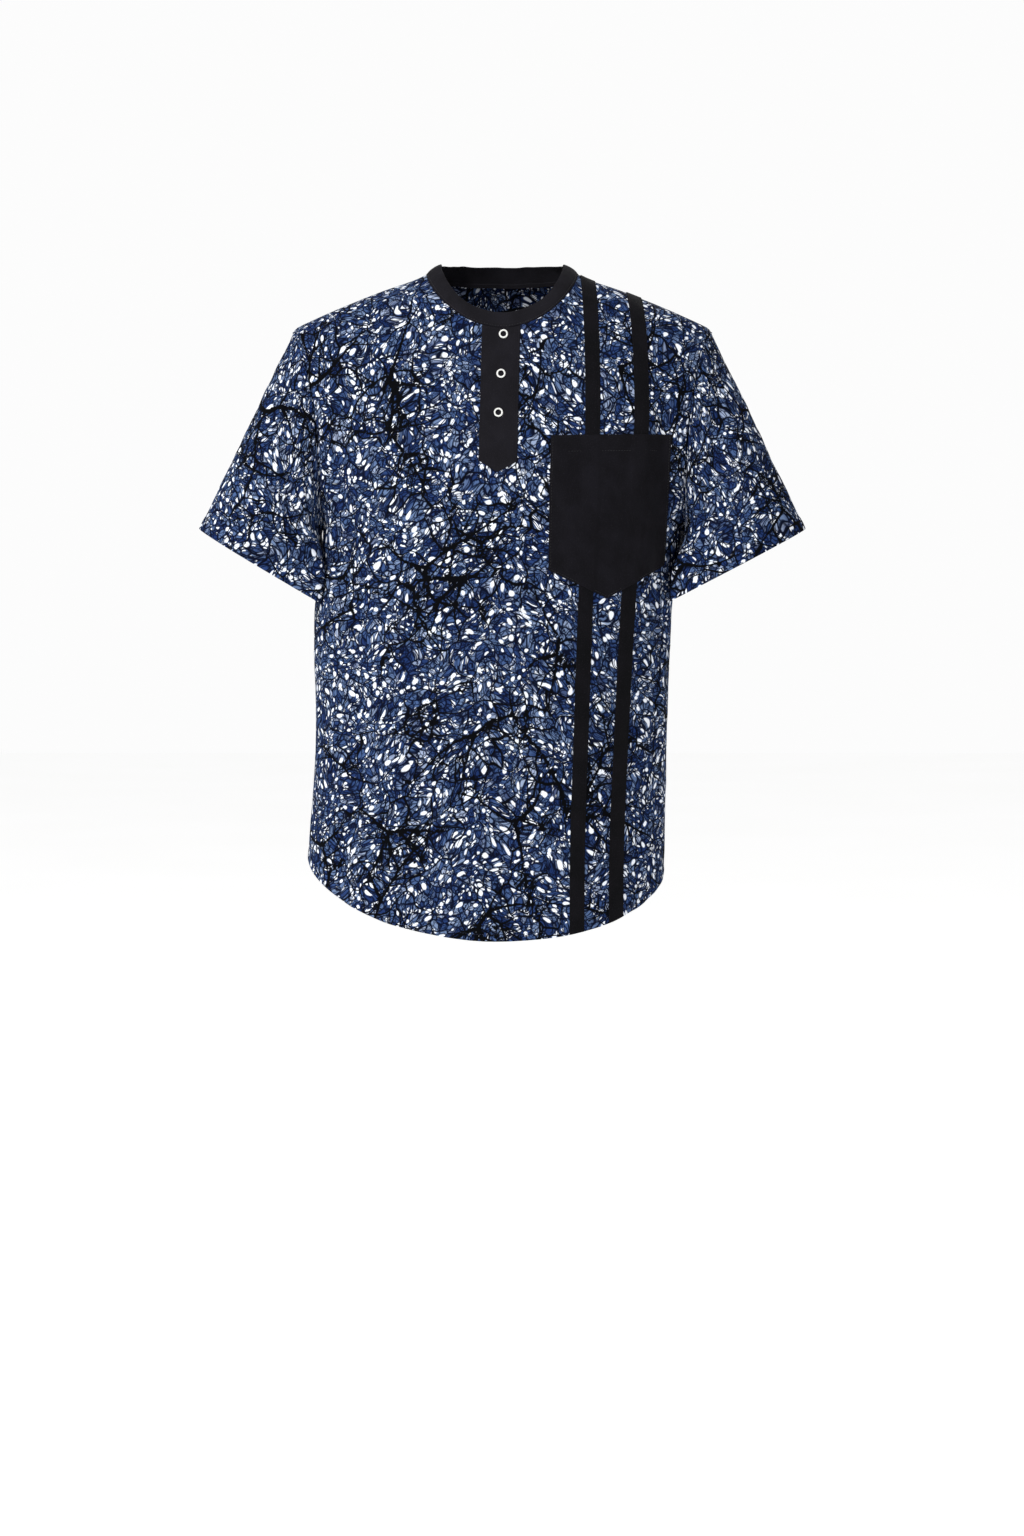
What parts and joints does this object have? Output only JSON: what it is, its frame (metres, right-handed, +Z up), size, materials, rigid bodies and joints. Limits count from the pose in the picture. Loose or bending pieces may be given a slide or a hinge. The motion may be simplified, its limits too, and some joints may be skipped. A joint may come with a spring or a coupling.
{
  "type": "short-sleeved pullover shirt in African wax print cotton",
  "caption": "Worn-form short-sleeved pullover shirt in indigo wax print cotton, with black neckband, placket with ring snaps, chest pocket, vertical strips and a curved hem.",
  "frame": {"origin": "middle of the neck, level with the points where the shoulder seams meet the neckband, where the wearer's neck and shoulders hold the shirt", "axes": "+Z up along the body, the front faces -Y, +X to the wearer's left"},
  "size_m": [0.6956, 0.2466, 0.7621],
  "materials": {
    "print_cloth": "indigo, white and black wax print cotton, plain weave, soft sheen",
    "trim_cloth": "black cotton twill, matte",
    "ring_snap": "white enamelled, satin"
  },
  "bodies": {
    "root": {"front": "print_cloth", "back": "print_cloth", "sleeve_left": "print_cloth", "sleeve_right": "print_cloth", "neckband": "trim_cloth", "placket": "trim_cloth", "pocket": "trim_cloth", "strip_inner": "trim_cloth", "strip_outer": "trim_cloth", "snap_1": "ring_snap", "snap_2": "ring_snap", "snap_3": "ring_snap"}
  },
  "joints": []
}
